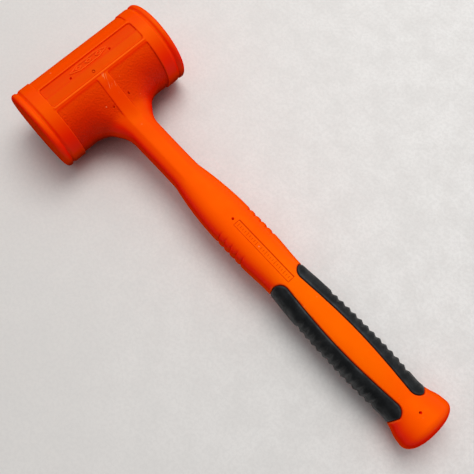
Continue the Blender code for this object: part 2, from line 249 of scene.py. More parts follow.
# Plain raised mark on the upper panel, and the ring beside it
MARK_X = -0.0036
MARK_HALF_WIDTH = 0.0024
MARK_HALF_LENGTH = 0.0155
LOZENGE_PITCH = 0.0085
LOZENGE_HALF_WIDTH = 0.0011
LOZENGE_HALF_LENGTH = 0.0026
MARK_SPACING = 0.0012
LOZENGE_SPACING = 0.0008
RING_X = 0.0051
RING_Y = -0.0025
RING_RADIUS = 0.0008

# Raised and pressed lines: radius of the tube, and how far its centre line lies below the surface
MARK_LINE = (0.00056, 0.00002)
RING_LINE = (0.00045, 0.0001)
LABEL_FRAME_LINE = (0.00030, -0.00002)
LABEL_STROKE_LINE = (0.00022, -0.00006)
LABEL_SIDE_LINE = (0.00048, 0.00002)

# Grid of the urethane's skin. The fine bands along X hold the panel's edges with their ridges and
# the finger ripples. Those along Y hold the rib's side, the ends of panel and recess, the valley
# and the rim's round edge.
STEP = 0.00094
FINE = 0.0003
X_BANDS = ((-0.0106, -0.0074, FINE), (0.0074, 0.0108, FINE), (0.1385, 0.1640, 0.0006))
Y_BANDS = ((0.0038, 0.0050, FINE), (0.0380, 0.0392, FINE), (0.0462, 0.0510, 0.0006),
           (0.0514, 0.0556, 0.0005))
SEARCH_HEIGHT = 0.034
HEAD_ROOM_END = 0.062
HANDLE_ROOM_HALF_Y = 0.022
HANDLE_ROOM_HALF_Z = 0.021

# Grid of the inlays, closer along the ribs
GRIP_STEP = 0.0006
GRIP_RIB_STEP = 0.00045
GRIP_RIB_LEAD = 0.004
GRIP_LOW_Y = 0.003
GRIP_HIGH_Y = 0.019
GRIP_HIGH_Z = 0.0150

SLOPE = math.asin((FACE_RADIUS - FLARE_THICKNESS) / FLARE_X)
HEAD_X = body_low.x + FACE_RADIUS
TO_WORLD = Matrix.Translation((HEAD_X, 0, FACE_RADIUS)) @ Matrix.Rotation(SLOPE, 4, "Y")


# ---------------------------------------------------------------- shaping functions

def blend_step(value, low, high):
    """0 below low, 1 above high, and a smooth rise between."""
    t = np.clip((value - low) / (high - low), 0, 1)
    return t * t * (3 - 2 * t)


def soft_max(a, b, radius):
    """The larger of two distances, with the edge between them softened."""
    near = np.maximum(radius - np.abs(a - b), 0) / radius
    return np.maximum(a, b) + near * near * radius / 4


def round_max(a, b, radius):
    """Inside both forms, with a round corner of that radius."""
    reach = np.hypot(np.maximum(radius + a, 0), np.maximum(radius + b, 0))
    return np.minimum(np.maximum(a, b), -radius) + reach


def handle_curve(x, column):
    """Half width or half thickness at x, on a smooth curve through the handle sections."""
    rows = np.array(HANDLE_SECTIONS)
    places, sizes = rows[:, 0], rows[:, column]
    i = np.clip(np.searchsorted(places, x, side="right") - 1, 0, len(rows) - 2)
    before = np.maximum(np.arange(len(rows)) - 1, 0)
    after = np.minimum(np.arange(len(rows)) + 1, len(rows) - 1)
    slopes = (sizes[after] - sizes[before]) / (places[after] - places[before])
    span = places[i + 1] - places[i]
    t = np.clip((x - places[i]) / span, 0, 1)
    rise = (sizes[i + 1] - sizes[i]) * t * t * (3 - 2 * t)
    bend = t * (1 - t) * span * ((1 - t) * slopes[i] - t * slopes[i + 1])
    return sizes[i] + rise + bend


def handle_gap(x, y, z):
    """Signed distance to the handle without its pockets and ripples."""
    width = handle_curve(x, 1)
    thickness = handle_curve(x, 2)
    share = np.clip((x - NECK_END_X) / (FLARE_X - NECK_END_X), 0, 1)
    power = NECK_SQUARENESS + (BUTT_SQUARENESS - NECK_SQUARENESS) * share
    ratio = ((np.abs(y) / width) ** power + (np.abs(z) / thickness) ** power) ** (1 / power)
    reach = np.hypot(y, z) / np.maximum(ratio, 1e-6)
    past = np.clip((x - FLARE_X) / (BUTT_END_X - FLARE_X), 0, None)
    ratio = (ratio ** BUTT_ROUNDNESS + past ** BUTT_ROUNDNESS) ** (1 / BUTT_ROUNDNESS)
    gap = np.maximum(reach, HANDLE_CORE) * (ratio - 1)
    loosen = LAND_FADE_RISE * blend_step(x, LAND_FADE_START, LAND_FADE_END)
    loosen = loosen + LAND_CLEAR_RISE * blend_step(x, LAND_CLEAR_START, LAND_CLEAR_END)
    land = np.abs(z) - LAND_HEIGHT - loosen
    bevel = (np.abs(y) - LAND_HALF_WIDTH) * math.sin(BEVEL_SLOPE)
    bevel = bevel + (np.abs(z) - LAND_HEIGHT) * math.cos(BEVEL_SLOPE) - loosen
    return soft_max(gap, soft_max(land, bevel, LAND_CREASE), LAND_EDGE)


def neck_gap(x, y, z):
    """Signed distance to the handle and the fillet that spreads it onto the barrel."""
    to_neck = handle_gap(x, y, z)
    drop = np.sqrt(np.maximum(BARREL_RADIUS ** 2 - z ** 2, 0))
    to_barrel = x - drop + BEYOND_BARREL_SLOPE * np.maximum(np.abs(z) - BARREL_RADIUS, 0)
    front = z * z / np.maximum(y * y + z * z, 1e-12)
    radius = FILLET_SIDE + (FILLET_FRONT - FILLET_SIDE) * front
    reach = np.hypot(np.maximum(radius - to_barrel, 0), np.maximum(radius - to_neck, 0))
    joined = np.maximum(radius, np.minimum(to_barrel, to_neck)) - reach
    joined = np.maximum(joined, np.abs(y) - FILLET_HALF_LENGTH)
    return np.where(x > 0.0, joined, BEHIND_AXIS_GAP + np.abs(x))


def head_gap(x, y, z):
    """Signed distance to the turned head: barrel, collars, valleys and rims."""
    radius = np.hypot(x, z)
    along = np.abs(y)
    away = np.abs(along - VALLEY_CENTRE) / VALLEY_HALF_WIDTH
    profile = COLLAR_RADIUS + (FACE_RADIUS - COLLAR_RADIUS) * blend_step(along, VALLEY_CENTRE, HALF_HEAD)
    profile = profile - VALLEY_DEPTH * (1 + np.cos(np.pi * np.minimum(away, 1))) / 2
    turned = radius - profile
    out = radius - (FACE_RADIUS - FACE_EDGE)
    end = along - (HALF_HEAD - FACE_EDGE)
    box = np.minimum(np.maximum(out, end), 0) + np.hypot(np.maximum(out, 0), np.maximum(end, 0))
    return np.maximum(turned, box - FACE_EDGE)


def plan_mask(edge, end):
    """1 inside a recess and 0 outside, from the distances to its side and its ends."""
    return blend_step(-round_max(edge, end, RECESS_CORNER), -STEP_WIDTH / 2, STEP_WIDTH / 2)


def panel_mask(x, y, z):
    """1 over the sunken panels and 0 outside them."""
    return plan_mask(np.abs(x) - PANEL_HALF_WIDTH, np.abs(y) - PANEL_HALF_LENGTH)


def ridge_mask(x, y, z):
    """1 along the crest of the ridges beside the panels and 0 off them."""
    middle = (PANEL_HALF_WIDTH + RIDGE_EDGE_X) / 2
    away = np.abs(np.abs(x) - middle) / (RIDGE_EDGE_X - PANEL_HALF_WIDTH) * 2
    along = 1 - blend_step(np.abs(y), PANEL_HALF_LENGTH - RIDGE_END_FADE,
                           PANEL_HALF_LENGTH + RIDGE_END_FADE)
    return np.where(np.abs(z) > PANEL_FROM_Z, np.maximum(1 - away * away, 0) * along, 0)


def recess_mask(x, y, z):
    """1 inside the recesses round the head, which stop at the ridges, the collars and the rib."""
    edge = RIDGE_EDGE_X - np.abs(x)
    rib = np.where(x > 0, RIB_HALF_WIDTH + RIB_SPREAD * (x - RIDGE_EDGE_X), -1.0)
    end = np.maximum(rib - np.abs(y), np.abs(y) - PANEL_HALF_LENGTH)
    soft_side = blend_step(-edge, 0, np.where(x > 0, RECESS_SIDE_FADE, BACK_RECESS_SIDE_FADE))
    shallow = np.where(x > 0, 1.0, BACK_RECESS_SHARE)
    inside = plan_mask(edge, end) * soft_side * shallow
    return inside * (1 - blend_step(x, RECESS_FADE_START, RECESS_FADE_END))


def scuff_mask(x, y, z):
    """1 where the rib beside the upper panel is scuffed, 0 elsewhere."""
    away = np.hypot((x - SCUFF_X) / SCUFF_LENGTH, (y - SCUFF_Y) / SCUFF_WIDTH)
    return np.where(z > SCUFF_FROM_Z, 1 - blend_step(away, 0.7, 1.0), 0)


def ripple_depth(x, y, first, pitch, count, half_width, depth, fade):
    """Depth of a row of notches across the handle's edge, which run out towards its top."""
    place = (x - first) / pitch
    nearest = np.clip(np.round(place), 0, count - 1)
    away = np.abs(place - nearest) * pitch / half_width
    side = np.clip(np.abs(y) / handle_curve(x, 1), 0, 1)
    return np.maximum(depth * (1 - away) - fade * (1 - side), 0)


def grip_outline(x, y):
    """Signed distance in plan to the outline of the inlays' pockets."""
    across = np.abs(y)
    first = GRIP_START_X + GRIP_CORNER
    last = GRIP_END_X - GRIP_CORNER
    share = np.clip((x - first) / (last - first), 0, 1)
    edge = GRIP_STRIP_END + (GRIP_STRIP_MIDDLE - GRIP_STRIP_END) * np.sin(np.pi * share)
    slant = np.maximum(across - GRIP_SLANT_FROM, 0)
    start = GRIP_START_X + GRIP_START_SLANT * slant - x
    end = x - GRIP_END_X + GRIP_END_SLANT * slant
    return round_max(round_max(edge - across, start, GRIP_CORNER), end, GRIP_CORNER)


def overmould_gap(x, y, z):
    """Signed distance to the whole urethane body, without its pin holes and steel room."""
    grown = np.minimum(head_gap(x, y, z), neck_gap(x, y, z))
    grown = grown + RECESS_DEPTH * recess_mask(x, y, z) - RIDGE_HEIGHT * ridge_mask(x, y, z)
    grown = grown + np.where(np.abs(z) > PANEL_FROM_Z, PANEL_DEPTH * panel_mask(x, y, z), 0)
    notch = ripple_depth(x, y, RIPPLE_FIRST_X, RIPPLE_PITCH, RIPPLE_COUNT, RIPPLE_HALF_WIDTH,
                         RIPPLE_DEPTH, RIPPLE_FADE)
    pocket = np.maximum(grip_outline(x, y), -handle_gap(x, y, z) - GRIP_DEPTH)
    return soft_max(grown + notch, -pocket, POCKET_RIM)


def grip_gap(x, y, z):
    """Signed distance to the inlays: domed edges, ribs across the side faces."""
    surface = handle_gap(x, y, z)
    notch = ripple_depth(x, y, RIB_FIRST_X + RIB_PITCH / 2, RIB_PITCH, RIB_COUNT, RIB_PITCH / 2,
                         RIB_DEPTH, RIB_FADE)
    skin = soft_max(surface - GRIP_PROUD + notch, grip_outline(x, y) + GAP, GRIP_RIM)
    return np.maximum(skin, -surface - GRIP_DEPTH + GAP)


# ---------------------------------------------------------------- mesh from a form

def grid_lines(low, high, step, fine=()):
    """Grid lines from low to high, one step apart, and closer in the fine bands."""
    lines = [low]
    while lines[-1] < high:
        here = lines[-1]
        steps = [close for start, end, close in fine if start - step / 2 <= here < end]
        lines.append(here + min(steps + [step]))
    return np.array(lines)


def both_sides(lines):
    """Lines that start at zero, with their mirror image."""
    return np.concatenate((-lines[:0:-1], lines))


def sampled(gap, xs, ys, zs, rooms):
    """The form's distance at the grid points inside the rooms, and 1 outside them."""
    value = np.ones((len(xs), len(ys), len(zs)))
    for low, high, half_y, half_z in rooms:
        i = np.flatnonzero((xs >= low) & (xs < high))
        j = np.flatnonzero(np.abs(ys) < half_y)
        k = np.flatnonzero(np.abs(zs) < half_z)
        found = gap(xs[i][:, None, None], ys[j][None, :, None], zs[k][None, None, :])
        value[i[0]:i[-1] + 1, j[0]:j[-1] + 1, k[0]:k[-1] + 1] = found
    return value


def crossed_cells(inside):
    """The grid cells that the surface passes through, and a grid that holds their numbers."""
    corners = np.zeros(tuple(n - 1 for n in inside.shape), np.uint8)
    across, up, deep = corners.shape
    for a in (0, 1):
        for b in (0, 1):
            for c in (0, 1):
                corners += inside[a:a + across, b:b + up, c:c + deep]
    active = (corners > 0) & (corners < 8)
    index = np.full(active.shape, -1)
    index[active] = np.arange(np.count_nonzero(active))
    return np.argwhere(active), index


def cell_points(value, cells, lines):
    """For each cell, the middle of the points where the surface crosses the cell's edges."""
    total = np.zeros((len(cells), 3))
    count = np.zeros(len(cells))
    for axis in range(3):
        unit = np.eye(3, dtype=int)[axis]
        for b in (0, 1):
            for c in (0, 1):
                start = cells + np.roll((0, b, c), axis)
                end = start + unit
                near, far = value[tuple(start.T)], value[tuple(end.T)]
                crossed = (near < 0) != (far < 0)
                share = np.where(crossed, near / np.where(crossed, near - far, 1), 0)
                for k in range(3):
                    low, high = lines[k][start[:, k]], lines[k][end[:, k]]
                    total[:, k] += np.where(crossed, low + (high - low) * share, 0)
                count += crossed
    return total / count[:, None]


def cell_quads(inside, index):
    """A face for each grid edge that the surface crosses, between the four cells round it."""
    quads = []
    for axis in range(3):
        e, f = np.eye(3, dtype=int)[(axis + 1) % 3], np.eye(3, dtype=int)[(axis + 2) % 3]
        near = np.delete(inside, -1, axis)
        far = np.delete(inside, 0, axis)
        crossed = np.argwhere(near != far)
        quad = np.stack([index[tuple((crossed - d).T)] for d in (0 * e, e, e + f, f)], axis=1)
        outward = near[tuple(crossed.T)]
        quads.append(np.where(outward[:, None], quad, quad[:, ::-1]))
    return np.concatenate(quads)


def surface_mesh(name, gap, xs, ys, zs, rooms):
    """Closed mesh where gap is zero, with one vertex in each grid cell that the form crosses.

    The rooms are boxes (x low, x high, half y, half z); the form lies within them.
    """
    value = sampled(gap, xs, ys, zs, rooms)
    cells, index = crossed_cells(value < 0)
    points = settle(gap, cell_points(value, cells, (xs, ys, zs)))
    mesh = bpy.data.meshes.new(name)
    mesh.from_pydata(points.tolist(), [], cell_quads(value < 0, index).tolist())
    mesh.shade_smooth()
    return mesh


def settle(gap, points):
    """Points moved onto the surface where gap is zero, in a few short moves down its slope."""
    reach = 0.00005
    longest = 0.0003
    for _ in range(3):
        value = gap(*points.T)
        slope = np.zeros_like(points)
        for k in range(3):
            shift = reach * np.eye(3)[k]
            slope[:, k] = (gap(*(points + shift).T) - gap(*(points - shift).T)) / (2 * reach)
        steep = np.maximum((slope ** 2).sum(axis=1), 0.25)
        move = slope * (value / steep)[:, None]
        length = np.maximum(np.linalg.norm(move, axis=1), 1e-12)
        points = points - move * np.minimum(longest / length, 1)[:, None]
    return points


# ---------------------------------------------------------------- object helpers

def add_object(name, data, material=None):
    made = bpy.data.objects.new(name, data)
    bpy.context.scene.collection.objects.link(made)
    if material:
        data.materials.append(material)
    return made


def bake(target, cuts):
    """The target's mesh after its cuts, which are pairs of operation and cutter."""
    for operation, cutter in cuts:
        modifier = target.modifiers.new(cutter.name, "BOOLEAN")
        modifier.operation = operation
        modifier.object = cutter
        modifier.solver = "MANIFOLD"
    view = bpy.context.evaluated_depsgraph_get()
    done = bpy.data.meshes.new_from_object(target.evaluated_get(view))
    target.modifiers.clear()
    target.data = done
    for _, cutter in cuts:
        bpy.data.objects.remove(cutter)


def stand_for(piece, node, body):
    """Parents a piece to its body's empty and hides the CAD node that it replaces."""
    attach(piece, body)
    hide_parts(node)


def to_bench(piece):
    """Moves a piece's mesh from the mallet's axes into the row frame."""
    piece.data.transform(TO_WORLD)
    piece.data.update()


def join_rings(shape, rings, steps):
    """Faces between each ring of points and the next; a ring of one point closes the form."""
    for low, high in zip(rings, rings[1:]):
        for i in range(steps):
            j = (i + 1) % steps
            corners = (low[i % len(low)], low[j % len(low)], high[j % len(high)], high[i % len(high)])
            shape.faces.new(dict.fromkeys(corners))


def mesh_from(shape, name, outward=False):
    """A new mesh of the shape, with its faces turned outward where that is asked for."""
    if outward:
        bmesh.ops.recalc_face_normals(shape, faces=shape.faces)
    mesh = bpy.data.meshes.new(name)
    shape.to_mesh(mesh)
    shape.free()
    return mesh


def turned_object(name, profile, steps, along, material=None):
    """Closed solid of revolution. The profile holds (height, radius) pairs. It runs from the low
    end to the high end on the axis, or right round the wall of a tube."""
    def point(height, radius, angle):
        u, v = radius * math.cos(angle), radius * math.sin(angle)
        return Vector((height, u, v)) if along == "X" else Vector((v, height, u))
    shape = bmesh.new()
    rows = []
    for height, radius in profile:
        if radius == 0:
            rows.append([shape.verts.new(point(height, 0, 0))])
        else:
            angles = [2 * math.pi * i / steps for i in range(steps)]
            rows.append([shape.verts.new(point(height, radius, a)) for a in angles])
    join_rings(shape, rows if profile[0][1] == 0 else rows + rows[:1], steps)
    return add_object(name, mesh_from(shape, name, True), material)


def canister_cutter(name, half_length):
    """Plain drum in the canister's place, a gap larger all round."""
    radius = CANISTER_RADIUS + GAP
    profile = [(-half_length, 0), (-half_length, radius), (half_length, radius), (half_length, 0)]
    return turned_object(name, profile, CANISTER_SIDES, "Y")


def surface_height(x, y):
    """Height of the urethane's upper surface over a point, found by halving."""
    low, high = 0.0, SEARCH_HEIGHT
    for _ in range(24):
        middle = (low + high) / 2
        if overmould_gap(np.array(x), np.array(y), np.array(middle)) < 0:
            low = middle
        else:
            high = middle
    return low


# ---------------------------------------------------------------- materials

# Direction that the light comes from, and the stretch that draws a noise out into strokes
LIGHT_FROM = (-0.17, 0.29, 0.942)
STROKE_SCALE = (130.0, 1500.0, 60.0)

# Urethane colours
HEAD_ORANGE = (0.88, 0.060, 0.0001, 1)
HANDLE_ORANGE = (0.98, 0.082, 0.0001, 1)
STRIP_ORANGE = (0.98, 0.116, 0.0001, 1)
MOTTLE_ORANGE = (0.85, 0.045, 0.0003, 1)
PANEL_ORANGE = (0.75, 0.040, 0.0003, 1)
SHADE_RED = (1.0, 0.0065, 0.0002, 1)
GRAIN_TONE_AND_SHADE_RED = (0.62, 0.012, 0.0003, 1)
RIM_SHADE_OLIVE = (0.62, 0.080, 0.001, 1)
UNDER_SHADE_RED = (0.16, 0.012, 0.003, 1)
EDGE_HIGHLIGHT_ORANGE = (1.0, 0.15, 0.010, 1)
GROOVE_SHADE_RED = (0.48, 0.010, 0.0005, 1)
WORN_ORANGE = (1.0, 0.42, 0.18, 1)
FLECK_ORANGE = (1.0, 0.42, 0.20, 1)
SCUFF_ORANGE = (1.0, 0.42, 0.16, 1)
SMUDGE_BROWN = (0.30, 0.050, 0.012, 1)

# Rubber and steel colours
RUBBER_DARK = (0.005, 0.0055, 0.006, 1)
RUBBER_GREY = (0.009, 0.0095, 0.010, 1)
RUBBER_EDGE_HIGHLIGHT = (0.040, 0.043, 0.045, 1)
RUBBER_NOTCH_SHADE = (0.0015, 0.0016, 0.0017, 1)
STEEL_GREY = (0.50, 0.51, 0.53, 1)
STEEL_RUST = (0.26, 0.17, 0.11, 1)

# Bench colours: its shaded and its lit corner as a painted fall of light, clouds, patches, speckle, and
# a painted contact shadow close to the mallet
BENCH_SHADED = (0.66, 0.64, 0.615, 1)
BENCH_LIT = (0.80, 0.79, 0.775, 1)
BENCH_CLOUD = (0.75, 0.735, 0.71, 1)
BENCH_PATCH = (0.66, 0.645, 0.625, 1)
BENCH_SPECKLE = (0.60, 0.585, 0.57, 1)
BENCH_CONTACT_SHADOW = (0.10, 0.006, 0.004, 1)
CONTACT_SHADOW_REACH = 0.035


class Nodes:
    """Short names for building a material's nodes."""

    def __init__(self, name):
        self.material = bpy.data.materials.new(name)
        self.material.use_nodes = True
        self.tree = self.material.node_tree
        self.shader = self.tree.nodes["Principled BSDF"]

    def add(self, kind, settings=None, **inputs):
        node = self.tree.nodes.new(kind)
        for name, value in (settings or {}).items():
            setattr(node, name, value)
        for name, value in inputs.items():
            self.feed(node, name.replace("_", " "), value)
        return node

    def feed(self, node, name, value):
        if isinstance(value, bpy.types.NodeSocket):
            self.tree.links.new(value, node.inputs[name])
        else:
            node.inputs[name].default_value = value

    def attribute(self, name):
        return self.add("ShaderNodeAttribute", {"attribute_name": name}).outputs["Fac"]

    def noise(self, where, scale, detail=3.0, roughness=0.55):
        return self.add("ShaderNodeTexNoise", Vector=where, Scale=scale, Detail=detail,
                        Roughness=roughness).outputs["Fac"]

    def stretched(self, where, angle):
        """Coordinates that draw a noise out into fine strokes, turned about Z by an angle."""
        turned = self.add("ShaderNodeVectorRotate", {"rotation_type": "Z_AXIS"}, Vector=where,
                          Angle=math.radians(angle))
        scaled = self.add("ShaderNodeVectorMath", {"operation": "MULTIPLY"})
        self.feed(scaled, 0, turned.outputs[0])
        scaled.inputs[1].default_value = STROKE_SCALE
        return scaled.outputs[0]

    def math(self, operation, a, b):
        node = self.add("ShaderNodeMath", {"operation": operation})
        self.feed(node, 0, a)
        self.feed(node, 1, b)
        return node.outputs[0]

    def times(self, a, b):
        return self.math("MULTIPLY", a, b)

    def spread(self, value, low, high, out_low=0.0, out_high=1.0):
        node = self.add("ShaderNodeMapRange", {"interpolation_type": "SMOOTHSTEP"}, Value=value,
                        From_Min=low, From_Max=high, To_Min=out_low, To_Max=out_high)
        return node.outputs[0]

    def mix(self, share, a, b):
        node = self.add("ShaderNodeMix", {"data_type": "RGBA"})
        for place, value in ((0, share), (6, a), (7, b)):
            self.feed(node, place, value)
        return node.outputs[2]

    def bump(self, height, distance, strength=1.0, normal=None):
        node = self.add("ShaderNodeBump", Height=height, Distance=distance, Strength=strength)
        if normal is not None:
            self.feed(node, "Normal", normal)
        return node.outputs[0]


def urethane_colour(n, where, facing):
    """Orange that differs from head to strip, painted shade away from the light, underneath and in
    grooves, painted highlights on edges, and wear.
    """
    grain = n.attribute("grain")
    edge = n.attribute("edge")
    place = n.add("ShaderNodeSeparateXYZ", Vector=where).outputs["X"]
    colour = n.mix(n.spread(place, -0.12, -0.02), HEAD_ORANGE, HANDLE_ORANGE)
    strip = n.times(n.spread(place, 0.0, 0.06), n.spread(place, 0.12, 0.155, 1.0, 0.0))
    colour = n.mix(strip, colour, STRIP_ORANGE)
    mottle = n.noise(where, 28.0, 3.0)
    colour = n.mix(n.spread(mottle, 0.35, 0.65, 0.0, 0.12), colour, MOTTLE_ORANGE)
    colour = n.mix(n.times(n.attribute("panel"), 0.90), colour, PANEL_ORANGE)

    # Painted shade: redder where the surface turns from the light, less so on upright faces; the grained
    # recesses are darker red, partly their own tone and more so as they turn from the light
    normal = n.add("ShaderNodeNewGeometry").outputs["Normal"]
    turned = n.add("ShaderNodeVectorMath", {"operation": "DOT_PRODUCT"})
    n.feed(turned, 0, normal)
    turned.inputs[1].default_value = LIGHT_FROM
    towards_light = turned.outputs["Value"]
    shade = n.spread(towards_light, 0.28, 0.93, 1.0, 0.0)
    upright = n.spread(towards_light, -0.22, 0.12, 0.45, 0.92)
    colour = n.mix(n.times(shade, upright), colour, SHADE_RED)
    deep = n.times(grain, n.spread(towards_light, 0.30, 0.90, 0.72, 0.28))
    colour = n.mix(deep, colour, GRAIN_TONE_AND_SHADE_RED)
    # Painted shade at grazing edges on the side towards the light
    rim = n.times(n.spread(facing, 0.45, 0.95, 0.0, 0.35), n.math("SUBTRACT", 1.0, shade))
    colour = n.mix(rim, colour, RIM_SHADE_OLIVE)

    # Painted shade underneath, mostly on the head, for camera rays only; the light that it throws on the
    # bench stays red
    upward = n.add("ShaderNodeSeparateXYZ", Vector=normal).outputs["Z"]
    under_shade = n.times(n.spread(upward, 0.08, -0.32, 0.0, 0.80),
                    n.spread(place, -0.11, -0.05, 1.0, 0.3))
    under_shade = n.times(under_shade, n.add("ShaderNodeLightPath").outputs["Is Camera Ray"])
    colour = n.mix(under_shade, colour, UNDER_SHADE_RED)

    # Painted highlight on outer edges and ridge crests, painted shade in grooves and creases, then worn
    # specks, flecks, scuffs and smudges
    colour = n.mix(n.spread(edge, 0.55, 0.80, 0.0, 0.38), colour, EDGE_HIGHLIGHT_ORANGE)
    colour = n.mix(n.spread(edge, 0.46, 0.20, 0.0, 0.65), colour, GROOVE_SHADE_RED)
    speck = n.noise(where, 420.0, 1.0)
    worn = n.times(n.spread(speck, 0.76, 0.80), n.spread(n.noise(where, 45.0), 0.52, 0.62))
    colour = n.mix(n.times(worn, 0.55), colour, WORN_ORANGE)
    flecks = n.add("ShaderNodeTexVoronoi", {"feature": "F1"}, Vector=where, Scale=110.0)
    fleck = n.times(n.spread(flecks.outputs["Distance"], 0.04, 0.09, 1.0, 0.0),
                    n.spread(n.noise(where, 30.0), 0.46, 0.58))
    colour = n.mix(n.times(fleck, 0.45), colour, FLECK_ORANGE)
    scuff = n.times(n.attribute("scuff"),
                    n.spread(n.noise(n.stretched(where, 25.0), 1.0, 2.0), 0.62, 0.70))
    colour = n.mix(n.times(scuff, 0.6), colour, SCUFF_ORANGE)
    smudge = n.times(n.attribute("struck"), n.spread(n.noise(where, 70.0, 5.0, 0.7), 0.48, 0.72))
    return n.mix(n.times(smudge, 0.45), colour, SMUDGE_BROWN)


def urethane_relief(n, where):
    """Leather grain in the recesses, a fine skin, faint waves, and dents on the struck faces."""
    leather = n.noise(where, 950.0, 2.0, 0.5)
    pits = n.add("ShaderNodeTexVoronoi", {"feature": "F1"}, Vector=where, Scale=900.0)
    leather = n.math("ADD", leather, n.times(pits.outputs["Distance"], 0.8))
    normal = n.bump(n.times(leather, n.attribute("grain")), 0.00034, 1.0)
    normal = n.bump(n.noise(where, 700.0, 2.0), 0.00002, 0.6, normal)
    normal = n.bump(n.noise(where, 90.0, 2.0), 0.00018, 0.35, normal)
    dents = n.times(n.attribute("struck"), n.spread(n.noise(where, 240.0, 3.0), 0.35, 0.60))
    return n.bump(dents, 0.00012, 0.8, normal)


def urethane_material():
    """Moulded orange urethane: faint mottling, soft sheen, grain in the recesses, light scuffs."""
    n = Nodes("orange_urethane")
    where = n.add("ShaderNodeTexCoord").outputs["Object"]
    facing = n.add("ShaderNodeLayerWeight").outputs["Facing"]
    n.feed(n.shader, "Base Color", urethane_colour(n, where, facing))
    rough = n.spread(n.noise(where, 60.0, 4.0), 0.3, 0.7, 0.44, 0.54)
    rough = n.math("ADD", rough, n.times(n.attribute("grain"), 0.14))
    n.feed(n.shader, "Roughness", rough)
    n.feed(n.shader, "Normal", urethane_relief(n, where))
    n.feed(n.shader, "Subsurface Weight", 0.06)
    n.feed(n.shader, "Subsurface Radius", (0.004, 0.0012, 0.0004))
    n.feed(n.shader, "Subsurface Scale", 1.0)
    n.feed(n.shader, "Specular IOR Level", n.spread(facing, 0.08, 0.50, 0.36, 0.0))
    n.feed(n.shader, "Specular Tint", (1.0, 0.45, 0.0, 1))
    return n.material


def rubber_material():
    """Charcoal rubber with a fine matt grain, a painted grey highlight on the ribs' edges and painted
    black shade in the notches.
    """
    n = Nodes("charcoal_rubber")
    where = n.add("ShaderNodeTexCoord").outputs["Object"]
    edge = n.attribute("edge")
    colour = n.mix(n.spread(n.noise(where, 35.0, 3.0), 0.35, 0.65), RUBBER_DARK, RUBBER_GREY)
    # Painted highlight on the ribs' edges and painted shade in the notches
    colour = n.mix(n.spread(edge, 0.54, 0.85, 0.0, 0.6), colour, RUBBER_EDGE_HIGHLIGHT)
    colour = n.mix(n.spread(edge, 0.47, 0.25, 0.0, 0.8), colour, RUBBER_NOTCH_SHADE)
    n.feed(n.shader, "Base Color", colour)
    patches = n.noise(where, 160.0, 4.0, 0.65)
    n.feed(n.shader, "Specular IOR Level", n.spread(patches, 0.36, 0.70, 0.16, 0.40))
    n.feed(n.shader, "Specular Tint", (0.88, 0.95, 1.0, 1))
    n.feed(n.shader, "Roughness", n.spread(patches, 0.3, 0.7, 0.56, 0.46))
    normal = n.bump(n.noise(where, 1100.0, 2.0), 0.00005, 0.9)
    normal = n.bump(n.noise(where, 220.0, 3.0), 0.00016, 0.7, normal)
    n.feed(n.shader, "Normal", normal)
    return n.material


def steel_material():
    """Bare steel with turning marks and a little surface rust."""
    n = Nodes("bare_steel")
    where = n.add("ShaderNodeTexCoord").outputs["Object"]
    patch = n.spread(n.noise(where, 60.0, 5.0), 0.55, 0.75)
    n.feed(n.shader, "Base Color", n.mix(patch, STEEL_GREY, STEEL_RUST))
    n.feed(n.shader, "Roughness", n.spread(n.noise(where, 240.0, 4.0), 0.3, 0.7, 0.25, 0.5))
    n.feed(n.shader, "Metallic", n.math("SUBTRACT", 1.0, n.times(patch, 0.6)))
    n.feed(n.shader, "Normal", n.bump(n.noise(where, 900.0, 3.0), 0.00003, 0.7))
    return n.material


def floor_material():
    """Pale bench with soft cloudy patches and a fine speckle, painted lighter towards one corner, with a
    painted contact shadow close to the mallet.
    """
    n = Nodes("bench_white")
    where = n.add("ShaderNodeTexCoord").outputs["Object"]
    place = n.add("ShaderNodeSeparateXYZ", Vector=where)
    corner = n.math("ADD", place.outputs["X"], place.outputs["Y"])
    colour = n.mix(n.spread(corner, -0.35, 0.35), BENCH_SHADED, BENCH_LIT)
    clouds = n.spread(n.noise(where, 9.0, 3.0), 0.3, 0.7, 0.0, 0.3)
    colour = n.mix(clouds, colour, BENCH_CLOUD)
    patches = n.spread(n.noise(where, 45.0, 4.0, 0.7), 0.35, 0.65, 0.0, 0.5)
    colour = n.mix(patches, colour, BENCH_PATCH)
    speckle = n.spread(n.noise(where, 420.0, 3.0, 0.7), 0.40, 0.62, 0.0, 0.30)
    colour = n.mix(speckle, colour, BENCH_SPECKLE)
    # Painted contact shadow from an ambient occlusion node
    near = n.add("ShaderNodeAmbientOcclusion", {"samples": 8}, Distance=CONTACT_SHADOW_REACH).outputs["AO"]
    colour = n.mix(n.spread(near, 0.50, 0.12, 0.0, 0.85), colour, BENCH_CONTACT_SHADOW)
    n.feed(n.shader, "Base Color", colour)
    n.feed(n.shader, "Roughness", 0.75)
    n.feed(n.shader, "Normal", n.bump(n.noise(where, 260.0, 3.0), 0.0002, 0.35))
    return n.material


# ---------------------------------------------------------------- surface detail as attributes

def set_attribute(mesh, name, values):
    attribute = mesh.attributes.new(name, "FLOAT", "POINT")
    attribute.data.foreach_set("value", values.astype(np.float32))


def vertex_array(mesh):
    found = np.zeros(len(mesh.vertices) * 3, np.float32)
    mesh.vertices.foreach_get("co", found)
    return found.reshape(-1, 3).astype(float)


EDGE_GAIN = 1.6


